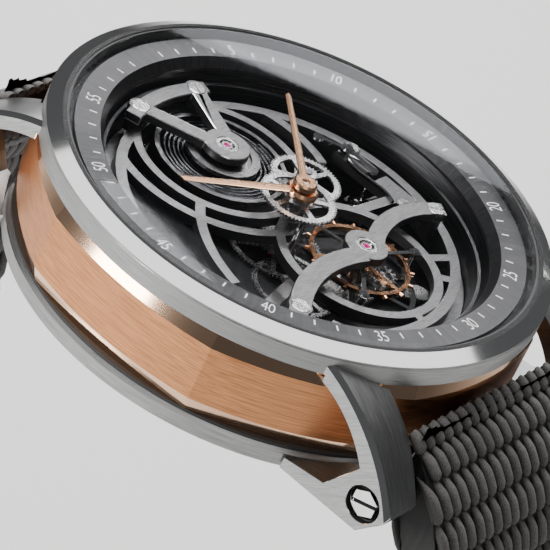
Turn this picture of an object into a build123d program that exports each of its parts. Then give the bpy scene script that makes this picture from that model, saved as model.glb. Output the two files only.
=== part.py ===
from build123d import *
import math
import os

# Skeleton wristwatch with a tourbillon, in millimetres.
# Origin: centre of the case-back's outer face. +Z towards the wearer's eye, +Y towards 12, +X towards 3.

# Case, seen from the wrist upwards
BEZEL_R = 20.5
BACK_R = 20.4
CORNER_R = 20.6          # corners of the eight-sided mid-case
FACET_R = 20.15          # middle of each slightly convex facet
CASE_BORE_R = 18.6
BACK_TOP_Z = 1.4
MID_Z = (1.6, 2.9, 7.6, 8.9)   # bottom, lower bevel, upper bevel, top
BEZEL_BAND_TOP_Z = 10.4
BEZEL_TOP_Z = 11.15
CRYSTAL_R = 18.85
CRYSTAL_TOP_Z = 12.1
RING_TOP_Z = 10.5        # minute ring
MOVEMENT_R = 14.9

# Lugs and strap
LUG_OUTER_X = 14.5
LUG_INNER_X = 10.3
LUG_TIP_INNER_X = 10.9
BAR_Y = 21.75
BAR_Z = 2.35
BAR_R = 0.85
STRAP_HALF_WIDTH = 10.1
STRAP_END_HALF_WIDTH = 9.0
STRAP_GAP = 0.8          # from the mid-case's facets to the strap's end
STRAP_END_TOP = (19.3, 8.2)
STRAP_END_BOTTOM = (19.3, 2.0)
STRAP_THICKNESS = 4.2
STRAP_END_THICKNESS = 2.4
SHOULDER = (5.6, -12.0)  # centre of the arc that leads the strap out over its bar
SHOULDER_R = 24.4
SHORT_CURVE_R = 200.0    # below it the strap hangs in long gentle curves
SHORT_SWEEP = 16.6
LONG_CURVE_R = 340.0
LONG_SWEEP = 16.3
BUCKLE_BAR_R = 0.6

# Movement levels
LOWER_PLATE_Z = (3.6, 4.1)
MAINPLATE_Z = (6.9, 7.7)
BRIDGE_Z = (8.4, 9.1)
STEM_Z = 4.9
BARREL = (0.1, 7.4)
TOURBILLON = (1.5, -6.1)
MOTION_DISTANCE = 3.8    # centre of the hands to the minute wheel
MINUTE_WHEEL = (MOTION_DISTANCE * math.cos(math.radians(27.4)), MOTION_DISTANCE * math.sin(math.radians(27.4)))
CROWN_WHEEL = (7.1, 0.0)
TRANSMISSION = ((CROWN_WHEEL[0] + BARREL[0]) / 2, (CROWN_WHEEL[1] + BARREL[1]) / 2)
CAGE_R = 5.1             # pillars of the tourbillon cage

# Gear train: teeth and pitch radii
CANNON_TEETH, CANNON_R = 20, 0.95
MINUTE_TEETH, MINUTE_R = 60, 2.85
MINUTE_PINION_TEETH, MINUTE_PINION_R = 16, 0.76
MINUTE_PINION_PHASE = 10.0
HOUR_TEETH, HOUR_R = 64, 3.04
BARREL_TEETH, BARREL_R = 87, 5.8
CENTRE_PINION_TEETH, CENTRE_PINION_R = 24, 1.6
CENTRE_TEETH, CENTRE_R = 78, 3.9
THIRD_PINION_TEETH, THIRD_PINION_R = 12, 0.6
THIRD_TEETH, THIRD_R = 68, 3.4
CAGE_PINION_TEETH, CAGE_PINION_R = 18, 0.9
FIXED_TEETH, FIXED_R = 44, 2.2
ESCAPE_PINION_TEETH, ESCAPE_PINION_R = 9, 0.45
WINDING_TEETH, WINDING_R = 34, 3.4      # crown wheel and ratchet wheel alike
TRANSMISSION_TEETH = 17
TRANSMISSION_R = math.dist(CROWN_WHEEL, TRANSMISSION) - WINDING_R

os.makedirs("parts", exist_ok=True)


def write(name, *solids):
    """One file per named piece; loose solids are kept as separate solids of one group."""
    shape = solids[0] if len(solids) == 1 else Compound(children=list(solids))
    shape.label = name
    export_step(shape, f"parts/{name}.step")


def polar(centre, radius, degrees):
    angle = math.radians(degrees)
    return (centre[0] + radius * math.cos(angle), centre[1] + radius * math.sin(angle))


def direction(a, b):
    return math.degrees(math.atan2(b[1] - a[1], b[0] - a[0]))


def slab(sketch, z0, z1, centre=(0, 0)):
    """Flat sketch made solid between two heights."""
    return Pos(centre[0], centre[1], z0) * extrude(sketch, z1 - z0, dir=(0, 0, 1))


def disc(radius, z0, z1, centre=(0, 0)):
    return slab(Circle(radius), z0, z1, centre)


def ring(outer, inner, z0, z1, centre=(0, 0)):
    return slab(Circle(outer) - Circle(inner), z0, z1, centre)


def revolved(*points):
    """Solid of revolution about Z from (radius, z) corners."""
    profile = Plane.XZ * make_face(Polyline(*points, close=True))
    return revolve(profile, Axis.Z)


def bar_between(a, b, width):
    length = math.hypot(b[0] - a[0], b[1] - a[1])
    middle = Pos((a[0] + b[0]) / 2, (a[1] + b[1]) / 2)
    return middle * Rot(0, 0, direction(a, b)) * Rectangle(length, width)


def arc_strip(centre, radius, width, start, sweep):
    """Flat strip of constant width along an arc."""
    return trace(CenterArc(centre, radius, start, sweep), width)


def gear_outline(teeth, pitch_r, phase=0.0):
    """Toothed disc with straight-flanked teeth, one tooth centred on the phase angle."""
    module = 2 * pitch_r / teeth
    tip, root = pitch_r + 0.8 * module, pitch_r - 1.1 * module
    pitch = 360 / teeth
    corners = []
    for k in range(teeth):
        middle = phase + k * pitch
        for radius, offset in ((root, -0.28), (tip, -0.11), (tip, 0.11), (root, 0.28)):
            corners.append(polar((0, 0), radius, middle + offset * pitch))
    return make_face(Polyline(*corners, close=True))


def mesh_phase(teeth_a, phase_a, centre_a, teeth_b, centre_b):
    """Phase that puts a gap of gear b opposite a tooth of gear a on the line of centres."""
    line = direction(centre_a, centre_b)
    part_a = ((line - phase_a) * teeth_a / 360) % 1
    return line + 180 - (0.5 - part_a) * 360 / teeth_b


def spoke_openings(rim, hub, spokes, width, turn=0.0, corner=0.15):
    """Rounded windows between a wheel's rim and hub."""
    windows = Circle(rim) - Circle(hub)
    for k in range(spokes):
        angle = turn + k * 360 / spokes
        windows -= Rot(0, 0, angle) * Pos((rim + hub) / 2, 0) * Rectangle(rim - hub + 1, width)
    return fillet(windows.vertices(), corner)


def wheel(teeth, pitch_r, z0, z1, centre, phase, rim, hub, spokes, width, bore=0.0):
    """Spoked toothed wheel."""
    outline = gear_outline(teeth, pitch_r, phase) - spoke_openings(rim, hub, spokes, width, phase)
    if bore:
        outline -= Circle(bore)
    return slab(outline, z0, z1, centre)


def pinion(teeth, pitch_r, z0, z1, centre, phase):
    return slab(gear_outline(teeth, pitch_r, phase), z0, z1, centre)


def slotted_screw(x, y, z, head_r, head_h, turn, shank_r=0.0, shank_h=0.0):
    """Screw standing along +Z whose head starts at z, with a cut slot."""
    screw = disc(head_r, z, z + head_h, (x, y))
    slot = Pos(x, y, z + head_h) * Rot(0, 0, turn) * Box(3 * head_r, 0.28 * head_r, head_h)
    screw = screw - slot
    if shank_h:
        screw += disc(shank_r, z - shank_h, z, (x, y))
    return screw


def mirrored_y(shape):
    return mirror(shape, Plane.XZ)


# --------------------------------------------------------------------------- case

def octagon(scale=1.0):
    """Eight shallow arcs between corners that stand 22.5 degrees off the axes."""
    edges = []
    for k in range(8):
        a, b = 22.5 + 45 * k, 67.5 + 45 * k
        start, end = polar((0, 0), CORNER_R * scale, a), polar((0, 0), CORNER_R * scale, b)
        edges.append(ThreePointArc(start, polar((0, 0), FACET_R * scale, (a + b) / 2), end))
    return make_face(edges)


def mid_case():
    bottom, low, high, top = MID_Z
    small = 0.975
    lower = loft([Pos(0, 0, bottom) * octagon(small), Pos(0, 0, low) * octagon()], ruled=True)
    flank = slab(octagon(), low, high)
    upper = loft([Pos(0, 0, high) * octagon(), Pos(0, 0, top) * octagon(small)], ruled=True)
    tube_hole = Pos(17, 0, STEM_Z) * Rot(0, 90, 0) * extrude(Circle(1.6), 6)
    return lower + flank + upper - disc(CASE_BORE_R, bottom - 1, top + 1) - tube_hole


def bezel():
    return revolved((18.3, MID_Z[3]), (BEZEL_R, MID_Z[3]), (BEZEL_R, 10.36), (20.4, 10.36),
                    (20.4, 10.46), (BEZEL_R, 10.46), (BEZEL_R, 10.6), (19.4, BEZEL_TOP_Z),
                    (19.05, BEZEL_TOP_Z), (19.05, 10.2), (18.3, 10.2))


def dome_arc(top_z, edge_r, edge_z):
    """Arc from the axis down to an edge, level at the axis."""
    rise = top_z - edge_z
    radius = (edge_r ** 2 + rise ** 2) / (2 * rise)
    half = math.asin(edge_r / radius) / 2
    middle = (radius * math.sin(half), top_z - radius * (1 - math.cos(half)))
    return ThreePointArc((0, top_z), middle, (edge_r, edge_z))


def crystal():
    """Sapphire with a domed top and a hollowed underside."""
    inner_top, inner_r, inner_edge = 11.3, 18.35, 10.65
    edges = dome_arc(CRYSTAL_TOP_Z, 18.55, 11.3) + dome_arc(inner_top, inner_r, inner_edge)
    edges += Polyline((18.55, 11.3), (CRYSTAL_R, 11.1), (CRYSTAL_R, 10.2), (inner_r, 10.2), (inner_r, inner_edge))
    edges += Line((0, inner_top), (0, CRYSTAL_TOP_Z))
    return revolve(Plane.XZ * make_face(edges), Axis.Z)


def minute_ring():
    return revolved((15.65, 9.4), (18.25, 9.4), (18.25, RING_TOP_Z), (16.2, RING_TOP_Z - 0.05),
                    (15.65, 9.65))


def inner_wall():
    """Dark stepped wall between the minute ring and the movement."""
    return revolved((18.25, 6.6), (18.25, 9.4), (15.7, 9.4), (15.35, 8.45), (15.1, 8.4),
                    (14.98, 7.0), (14.98, 6.6))


def casing_ring():
    body = ring(18.5, 14.98, 2.2, 6.6)
    stem_way = Pos(14, 0, STEM_Z) * Rot(0, 90, 0) * extrude(Circle(1.0), 6)
    return body - stem_way


def case_back():
    body = revolved((14.4, 0), (BACK_R, 0), (BACK_R, 1.1), (20.0, BACK_TOP_Z), (15.5, BACK_TOP_Z),
                    (15.5, 0.5), (14.4, 0.5))
    for k in range(8):
        x, y = polar((0, 0), 17.6, 22.5 + 45 * k)
        body -= disc(0.95, -0.1, 0.55, (x, y)) + disc(0.5, 0.5, 1.5, (x, y))
    return body


def back_screws():
    screws = []
    for k in range(8):
        x, y = polar((0, 0), 17.6, 22.5 + 45 * k)
        head = slab(RegularPolygon(0.9, 6), 0.05, 0.55, (x, y))
        head -= Pos(x, y, 0.05) * Rot(0, 0, 30 * k) * Box(2.2, 0.3, 0.4)
        screws.append(head + disc(0.45, 0.55, BACK_TOP_Z, (x, y)))
    return screws


def lug():
    """Hollow lug at 7 o'clock: a curved arm, a strut back to the case, and a screw boss at the tip."""
    outline = ThreePointArc((13.4, 10.3), (20.2, 7.05), (24.0, 2.7))
    outline += Polyline((24.0, 2.7), (23.85, 2.1), (22.1, 0.1), (13.4, 0.0), (13.4, 0.8), (18.3, 1.55), (20.3, 4.6))
    outline += ThreePointArc((20.3, 4.6), (17.8, 7.0), (13.4, 8.6))
    outline += Line((13.4, 8.6), (13.4, 10.3))
    side = Plane(origin=(-LUG_OUTER_X, 0, 0), x_dir=(0, -1, 0), z_dir=(-1, 0, 0))
    body = extrude(side * make_face(outline), -(LUG_OUTER_X - LUG_INNER_X))
    bevel_line = body.faces().sort_by(Axis.X)[0].edges().sort_by(SortBy.LENGTH)[-1]
    body = chamfer(bevel_line, 0.35)
    plan = Polygon((-LUG_OUTER_X - 1, 0), (-LUG_INNER_X, 0), (-LUG_INNER_X, -20.5),
                   (-LUG_TIP_INNER_X, -24.2), (-LUG_OUTER_X - 1, -24.2), align=None)
    body &= slab(plan, -1, 13)
    body -= disc(CORNER_R + 0.03, -1, MID_Z[3])
    body -= disc(BEZEL_R, MID_Z[3], 12)
    recess = Pos(-LUG_OUTER_X - 0.1, -BAR_Y, BAR_Z) * Rot(0, 90, 0) * extrude(Circle(1.45), 0.75)
    bore = Pos(-LUG_OUTER_X, -BAR_Y, BAR_Z) * Rot(0, 90, 0) * extrude(Circle(BAR_R), 6)
    body -= recess
    return body - bore


def lug_screw():
    """Hexagonal slotted screw of the 7 o'clock lug, threaded into the strap bar."""
    face_x = -LUG_OUTER_X + 0.15
    head = Pos(face_x, -BAR_Y, BAR_Z) * Rot(0, 90, 0) * extrude(RegularPolygon(1.15, 6), 0.5)
    slot = Pos(face_x, -BAR_Y, BAR_Z) * Rot(-17, 0, 0) * Box(0.5, 3.0, 0.32)
    shank = Pos(face_x + 0.5, -BAR_Y, BAR_Z) * Rot(0, 90, 0) * extrude(Circle(BAR_R), 1.35)
    return head - slot + shank


def strap_bar(y):
    half = LUG_OUTER_X - 2.0
    return Pos(-half, y, BAR_Z) * Rot(0, 90, 0) * extrude(Circle(BAR_R), 2 * half)


def make_case():
    write("mid_case", mid_case())
    write("bezel", bezel())
    write("crystal", crystal())
    write("crystal_gasket", ring(19.05, CRYSTAL_R, 10.2, 11.05))
    write("minute_ring", minute_ring())
    write("inner_wall", inner_wall())
    write("casing_ring", casing_ring())
    write("case_back", case_back())
    write("back_crystal", disc(14.35, 0, 0.5) + disc(15.45, 0.5, 1.3))
    write("back_gasket", ring(20.1, 18.7, BACK_TOP_Z, MID_Z[0]))
    write("back_screws", *back_screws())
    lug_7 = lug()
    lug_5 = mirror(lug_7, Plane.YZ)
    screw_7 = lug_screw()
    screw_5 = mirror(screw_7, Plane.YZ)
    write("lug_7", lug_7)
    write("lug_5", lug_5)
    write("lug_11", mirrored_y(lug_7))
    write("lug_1", mirrored_y(lug_5))
    write("lug_screws", screw_7, screw_5, mirrored_y(screw_7), mirrored_y(screw_5))
    write("strap_bars", strap_bar(BAR_Y), strap_bar(-BAR_Y))
    tube = Pos(18.55, 0, STEM_Z) * Rot(0, 90, 0) * extrude(Circle(1.6) - Circle(0.95), 3.35)
    write("crown_tube", tube)


# ----------------------------------------------------------------- plates and bridges

BARREL_SCREWS = ((-3.3, 13.75), (3.4, 13.55))
TOURBILLON_SCREWS = ((-10.05, -8.62), (11.4, -5.65))
COCK_PAD = (11.6, -2.3)


def mainplate():
    """Openworked plate: a rim, rings round the barrel and the tourbillon, and crossing arcs."""
    work = Circle(14.0) - Circle(13.15)
    work += Pos(*BARREL) * (Circle(7.2) - Circle(6.5))
    work += Pos(*TOURBILLON) * (Circle(6.8) - Circle(6.05))
    work += arc_strip(BARREL, 8.85, 0.8, 150, 110)
    work += arc_strip(BARREL, 9.3, 0.8, -25, 55)
    work += arc_strip(TOURBILLON, 12.85, 0.8, 127, 42)
    work += arc_strip(TOURBILLON, 9.6, 0.7, 205, 40)
    for angle, length in ((262, 2.2), (285, 1.9), (318, 2.6), (338, 3.2)):
        start, end = polar(TOURBILLON, 6.5, angle), polar(TOURBILLON, 6.5 + length, angle)
        work += bar_between(start, end, 0.75)
    work += Circle(0.85) + Pos(*MINUTE_WHEEL) * Circle(0.9)
    work += bar_between((0, 0), MINUTE_WHEEL, 1.1)
    work += bar_between(MINUTE_WHEEL, polar(BARREL, 6.85, -32), 0.9)
    work += bar_between(polar(TOURBILLON, 6.5, 40), COCK_PAD, 0.9)
    work += Pos(11.75, 0.3) * Rectangle(2.0, 7.4)
    work = work & Circle(14.0)
    work -= Circle(0.5)
    work -= Pos(12.0, 0.5) * Rectangle(1.6, 1.0)
    low, high = MAINPLATE_Z
    plate = slab(work, low, high)
    plate += ring(14.0, 13.15, 5.6, low) + ring(MOVEMENT_R, 13.15, 5.6, 6.2)
    for foot in BARREL_SCREWS + TOURBILLON_SCREWS:
        plate += disc(0.75, low, BRIDGE_Z[0], foot)
        plate -= disc(0.35, low - 0.1, BRIDGE_Z[0] + 0.1, foot)
    return plate + disc(0.3, high, 9.7, MINUTE_WHEEL)


def lower_plate():
    """Dark back plate that carries the lower jewels and the winding wheels."""
    low, high = LOWER_PLATE_Z
    openings = Pos(*BARREL) * Circle(0.75) + Pos(*TOURBILLON) * Circle(0.5)
    openings += Pos(*THIRD) * Circle(0.4) + Circle(0.4)
    for angle in (150, 185, 220, 20):
        openings += arc_strip((0, 0), 11.6, 2.2, angle, 24)
    plate = slab(Circle(13.1) - openings, low, high)
    plate += ring(MOVEMENT_R, 13.0, low, 4.9) + ring(MOVEMENT_R, 13.6, 4.9, 5.6)
    plate -= disc(3.75, low - 0.1, low + 0.1, CROWN_WHEEL)
    plate += disc(0.8, 2.95, high, CROWN_WHEEL) + disc(0.6, 2.95, high, TRANSMISSION)
    plate -= Pos(10.1, 0, (low + high) / 2) * Box(1.5, 3.0, 2)
    plate -= Pos(9.4, 0, STEM_Z) * Rot(0, 90, 0) * extrude(Circle(1.0), 7)
    return plate


def barrel_bridge():
    """V-shaped bridge: a hub over the barrel, two arms and a curved outer band."""
    low, high = BRIDGE_Z
    left, right = BARREL_SCREWS
    band = arc_strip((0, 0), 14.05, 1.35, 71.5, 38.5)
    hub_left, hub_right = (BARREL[0] - 0.75, BARREL[1] + 0.6), (BARREL[0] + 0.75, BARREL[1] + 0.6)
    shape = band + Pos(*BARREL) * Circle(1.9) + Pos(*left) * Circle(1.0) + Pos(*right) * Circle(1.0)
    shape += bar_between(left, hub_left, 1.35) + bar_between(right, hub_right, 1.35)
    body = slab(shape, low, high)
    body -= disc(0.85, low - 0.1, high + 0.1, BARREL)
    for x, y in BARREL_SCREWS:
        body -= disc(0.72, high - 0.25, high + 0.1, (x, y)) + disc(0.36, low - 0.1, high, (x, y))
    return body


def tourbillon_bridge():
    """Gull-wing bridge over the tourbillon."""
    low, high = BRIDGE_Z
    left, right = TOURBILLON_SCREWS
    wing_left = trace(ThreePointArc((0.4, -6.75), (-4.4, -6.35), left), 1.7)
    wing_right = trace(ThreePointArc((2.6, -6.15), (7.1, -4.65), (12.1, -5.95)), 1.45)
    shape = wing_left + wing_right + Pos(*TOURBILLON) * Circle(1.75) + Pos(*left) * Circle(0.95)
    shape += bar_between(left, (-11.2, -9.2), 1.5)
    body = slab(shape, low, high)
    body -= disc(0.85, low - 0.1, high + 0.1, TOURBILLON)
    for x, y in TOURBILLON_SCREWS:
        body -= disc(0.72, high - 0.25, high + 0.1, (x, y)) + disc(0.36, low - 0.1, high, (x, y))
    return body


def bridge_screws():
    screws = []
    for k, (x, y) in enumerate(BARREL_SCREWS + TOURBILLON_SCREWS):
        screws.append(slotted_screw(x, y, BRIDGE_Z[1] - 0.25, 0.68, 0.3, 25 + 40 * k, 0.33, 1.3))
    for k, (x, y) in enumerate(((10.9, -3.3), (12.5, 3.6))):
        screws.append(slotted_screw(x, y, MAINPLATE_Z[1], 0.6, 0.3, 60 * k))
    return screws


def chaton(centre):
    """Openworked jewel setting pressed into a bridge hub."""
    low, high = BRIDGE_Z
    body = ring(0.85, 0.62, low, high - 0.05, centre) + ring(0.42, 0.3, low, high - 0.1, centre)
    for k in range(5):
        x, y = polar(centre, 0.52, 72 * k)
        body += Pos(x, y, high - 0.3) * Rot(0, 0, 72 * k) * Box(0.34, 0.14, 0.3)
    return body


def jewels():
    low, high = BRIDGE_Z
    stones = []
    for centre, bore in ((BARREL, 0.13), (TOURBILLON, 0.13)):
        stones.append(ring(0.3, bore, low + 0.1, high - 0.15, centre))
    for centre in ((0, 0), THIRD):
        stones.append(ring(0.4, 0.16, LOWER_PLATE_Z[0], LOWER_PLATE_Z[1], centre))
    stones.append(ring(0.5, 0.2, LOWER_PLATE_Z[0], LOWER_PLATE_Z[1], TOURBILLON))
    return stones


def fixed_wheel():
    """Fixed wheel that the escape pinion rolls round, carried on an arm from the lower plate."""
    z = 4.8
    body = pinion(FIXED_TEETH, FIXED_R, z, z + 0.2, TOURBILLON, 0)
    arm_end = polar(TOURBILLON, 6.6, -28)
    arm = bar_between(TOURBILLON, arm_end, 1.3) + Pos(*arm_end) * Circle(0.9)
    body += slab(arm + Pos(*TOURBILLON) * Circle(1.9), z - 0.2, z)
    body += disc(0.9, LOWER_PLATE_Z[1], z - 0.2, arm_end)
    return body - disc(0.55, 4, 6, TOURBILLON)


def keyless_spring():
    """Thin return spring of the setting lever, with its screwed foot."""
    blade = trace(Spline((12.4, 3.4), (11.0, 2.9), (10.55, 1.2), (10.7, -0.9), (10.2, -2.6)), 0.22)
    foot = Pos(12.5, 3.6) * Circle(0.7)
    body = slab(blade + foot, MAINPLATE_Z[1], MAINPLATE_Z[1] + 0.25)
    return body - disc(0.62, MAINPLATE_Z[1] - 0.1, 9, (12.5, 3.6))


def make_plates():
    write("mainplate", mainplate())
    write("lower_plate", lower_plate())
    write("barrel_bridge", barrel_bridge())
    write("tourbillon_bridge", tourbillon_bridge())
    write("bridge_screws", *bridge_screws())
    write("chatons", chaton(BARREL), chaton(TOURBILLON))
    write("jewels", *jewels())
    write("fixed_wheel", fixed_wheel())
    write("keyless_spring", keyless_spring())


# ----------------------------------------------------------------- going train and hands

def third_axis():
    """Third arbor, left of the line between the centre and the tourbillon."""
    a, b = CENTRE_R + THIRD_PINION_R, THIRD_R + CAGE_PINION_R
    span = math.hypot(*TOURBILLON)
    along = (a * a - b * b + span * span) / (2 * span)
    aside = math.sqrt(a * a - along * along)
    ux, uy = TOURBILLON[0] / span, TOURBILLON[1] / span
    return (along * ux + aside * uy, along * uy - aside * ux)


THIRD = third_axis()
ORIGIN = (0.0, 0.0)
CENTRE_PHASE = 0.0


def centre_wheel():
    body = pinion(CENTRE_PINION_TEETH, CENTRE_PINION_R, 4.9, 5.55, ORIGIN, CENTRE_PHASE)
    body += wheel(CENTRE_TEETH, CENTRE_R, 4.55, 4.7, ORIGIN, CENTRE_PHASE, 3.45, 1.0, 5, 0.4)
    body += disc(0.4, 4.3, 6.9, ORIGIN) + disc(0.13, 3.65, 4.3, ORIGIN)
    return body + disc(0.29, 6.9, 10.9, ORIGIN)


def third_wheel():
    phase = mesh_phase(CENTRE_TEETH, CENTRE_PHASE, ORIGIN, THIRD_PINION_TEETH, THIRD)
    body = pinion(THIRD_PINION_TEETH, THIRD_PINION_R, 4.4, 4.85, THIRD, phase)
    body += wheel(THIRD_TEETH, THIRD_R, 4.25, 4.4, THIRD, 0, 3.0, 0.9, 4, 0.4)
    return body + disc(0.12, 4.85, 5.3, THIRD) + disc(0.12, 3.65, 4.25, THIRD)


def train_bridge():
    """Small cock over the third wheel's upper pivot."""
    foot = (-9.5, -5.5)
    arm = bar_between(THIRD, foot, 1.1) + Pos(*THIRD) * Circle(0.75) + Pos(*foot) * Circle(1.0)
    body = slab(arm, 5.05, 5.35) + disc(1.0, LOWER_PLATE_Z[1], 5.05, foot)
    return body - disc(0.16, 5, 6, THIRD)


def hand(length, root, width, z, thickness):
    """Slim baton with a ridge, pointing along +Y."""
    outline = Polygon((-width / 2, root), (-width * 0.36, length - 0.25), (0, length),
                      (width * 0.36, length - 0.25), (width / 2, root), align=None)
    blade = slab(outline, z, z + thickness)
    edges = blade.faces().sort_by(Axis.Z)[-1].edges().sort_by(SortBy.LENGTH)[-2:]
    return chamfer(edges, thickness * 0.6, width * 0.3)


HOUR_ANGLE = 60.0        # hands at eight minutes past ten, counter-clockwise from +Y
MINUTE_ANGLE = -44.0


def hour_hand():
    blade = Rot(0, 0, HOUR_ANGLE) * hand(10.4, 1.0, 0.85, 10.2, 0.2)
    hub = revolved((0.62, 9.95), (1.3, 9.95), (1.3, 10.2), (1.1, 10.42), (0.62, 10.42))
    return hub + blade


def minute_hand():
    blade = Rot(0, 0, MINUTE_ANGLE) * hand(12.0, 0.7, 0.7, 10.72, 0.18)
    hub = revolved((0.3, 10.55), (0.95, 10.55), (0.95, 10.95), (0.82, 11.08), (0.3, 11.08))
    return hub + blade


def hour_wheel():
    phase = mesh_phase(MINUTE_PINION_TEETH, MINUTE_PINION_PHASE, MINUTE_WHEEL, HOUR_TEETH, ORIGIN)
    body = wheel(HOUR_TEETH, HOUR_R, 9.3, 9.5, ORIGIN, phase, 2.5, 1.15, 5, 0.45, 0.55)
    return body + ring(0.62, 0.55, 9.5, 10.42) + ring(1.0, 0.55, 9.5, 9.7)


def minute_wheel():
    phase = mesh_phase(CANNON_TEETH, 0.0, ORIGIN, MINUTE_TEETH, MINUTE_WHEEL)
    body = wheel(MINUTE_TEETH, MINUTE_R, 8.8, 9.0, MINUTE_WHEEL, phase, 2.35, 0.95, 5, 0.42, 0.34)
    leaves = pinion(MINUTE_PINION_TEETH, MINUTE_PINION_R, 9.0, 9.6, MINUTE_WHEEL, MINUTE_PINION_PHASE)
    return body + leaves - disc(0.34, 8, 10, MINUTE_WHEEL)


def cannon_pinion():
    body = pinion(CANNON_TEETH, CANNON_R, 8.75, 9.05, ORIGIN, 0.0)
    body += disc(0.48, 9.05, 10.55, ORIGIN) + disc(0.6, 8.0, 8.75, ORIGIN)
    return body - disc(0.3, 7, 11, ORIGIN)


def make_train():
    write("centre_wheel", centre_wheel())
    write("third_wheel", third_wheel())
    write("train_bridge", train_bridge())
    write("minute_wheel", minute_wheel())
    write("hour_wheel", hour_wheel())
    write("cannon_pinion", cannon_pinion())
    write("hour_hand", hour_hand())
    write("minute_hand", minute_hand())


# ----------------------------------------------------------------- barrel and winding

def spiral(inner, outer, turns, width, steps=24):
    """Flat spiral ribbon wound counter-clockwise from the inside."""
    outside, inside = [], []
    for k in range(turns * steps + 1):
        radius = inner + (outer - inner) * k / (turns * steps)
        angle = 360 * k / steps
        outside.append(polar((0, 0), radius + width / 2, angle))
        inside.append(polar((0, 0), radius - width / 2, angle))
    return make_face(Polyline(*outside, *reversed(inside), close=True))


def barrel_drum():
    phase = mesh_phase(CENTRE_PINION_TEETH, CENTRE_PHASE, ORIGIN, BARREL_TEETH, BARREL)
    body = pinion(BARREL_TEETH, BARREL_R, 5.0, 5.5, BARREL, phase) + disc(5.45, 5.5, 7.8, BARREL)
    body -= disc(5.05, 5.3, 8, BARREL)
    return body - disc(0.95, 4.9, 8, BARREL)


def mainspring():
    return slab(spiral(1.9, 4.85, 8, 0.14), 5.45, 7.65, BARREL)


def barrel_arbor():
    """Arbor with its spring core and the polished ring under the bridge hub."""
    body = disc(0.6, 3.55, 5.35, BARREL) + disc(1.7, 5.35, 7.7, BARREL) + disc(0.9, 7.7, 7.95, BARREL)
    body += disc(2.4, 7.95, 8.1, BARREL) + ring(3.0, 2.35, 7.95, 8.25, BARREL)
    return body + disc(0.12, 8.1, 8.9, BARREL)


def ratchet_wheel():
    phase = mesh_phase(TRANSMISSION_TEETH, 0.0, TRANSMISSION, WINDING_TEETH, BARREL)
    body = pinion(WINDING_TEETH, WINDING_R, 3.05, 3.3, BARREL, phase) + disc(1.1, 3.3, 3.55, BARREL)
    return body + slotted_screw_down(BARREL, 3.05, 1.2, 0.3)


def slotted_screw_down(centre, z, head_r, head_h):
    """Flat slotted screw head that faces the case-back."""
    slot = Pos(centre[0], centre[1], z - head_h) * Box(3 * head_r, 0.25 * head_r, head_h)
    return disc(head_r, z - head_h, z, centre) - slot


def transmission_wheel():
    body = pinion(TRANSMISSION_TEETH, TRANSMISSION_R, 3.05, 3.3, TRANSMISSION, 0.0)
    return body - disc(0.65, 3, 4, TRANSMISSION)


def crown_wheel():
    """Flat winding teeth outside, and upright face teeth that the winding pinion drives."""
    phase = mesh_phase(TRANSMISSION_TEETH, 0.0, TRANSMISSION, WINDING_TEETH, CROWN_WHEEL)
    body = pinion(WINDING_TEETH, WINDING_R, 3.05, 3.3, CROWN_WHEEL, phase)
    tooth = Pos(3.0, 0, 3.45) * Box(0.45, 0.22, 0.3)
    for k in range(36):
        body += Pos(CROWN_WHEEL[0], CROWN_WHEEL[1], 0) * Rot(0, 0, 10 * k) * tooth
    return body - disc(0.85, 3, 4, CROWN_WHEEL)


def click():
    """Pawl beside the ratchet wheel."""
    pivot, beak = (-4.6, 3.9), polar(BARREL, 3.75, 195)
    shape = bar_between(pivot, beak, 0.7) + Pos(*pivot) * Circle(0.75)
    body = slab(shape, 3.05, 3.3) + disc(0.4, 3.3, 3.58, pivot)
    return body - disc(3.65, 3, 4, BARREL)


def along_x(sketch, x, length):
    """Extrude a sketch along +X on the stem's axis."""
    return Pos(x, 0, STEM_Z) * Rot(0, 90, 0) * extrude(sketch, length)


def crown():
    body = along_x(gear_outline(32, 2.95), 20.45, 3.3) + along_x(Circle(2.6), 23.75, 0.45)
    return body - along_x(Circle(2.1), 20.4, 1.8)


def stem():
    groove = Circle(0.7) - Circle(0.35)
    return along_x(Circle(0.6), 9.3, 22.2 - 9.3) - along_x(groove, 11.2, 0.6)


def setting_lever():
    """Lever that holds the stem by a pin in its groove."""
    pivot, pin = (11.5, 3.4), (11.5, 0.56)
    tail = (10.3, 5.6)
    z = MAINPLATE_Z[1] + 0.3
    shape = bar_between(pivot, pin, 0.5) + bar_between(pivot, tail, 0.4)
    shape += Pos(*pivot) * Circle(0.6) + Pos(*pin) * Circle(0.35) + Pos(*tail) * Circle(0.45)
    body = slab(shape, z, z + 0.25) + disc(0.15, 4.7, z, pin)
    return body + slotted_screw(pivot[0], pivot[1], z + 0.25, 0.42, 0.2, 70)


def make_winding():
    write("barrel_drum", barrel_drum())
    write("mainspring", mainspring())
    write("barrel_arbor", barrel_arbor())
    write("ratchet_wheel", ratchet_wheel())
    write("transmission_wheel", transmission_wheel())
    write("crown_wheel", crown_wheel())
    write("click", click())
    write("crown", crown())
    write("stem", stem())
    write("crown_gasket", along_x(Circle(2.05) - Circle(1.65), 21.0, 0.6))
    write("winding_pinion", along_x(gear_outline(15, 1.14) - Circle(0.65), 9.7, 0.8))
    write("setting_lever", setting_lever())


# ----------------------------------------------------------------- tourbillon

ESCAPE = polar(TOURBILLON, FIXED_R + ESCAPE_PINION_R, -25)
PALLET = polar(TOURBILLON, 2.2, -70)
CAGE_ARMS = (100, 220, 340)


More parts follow.
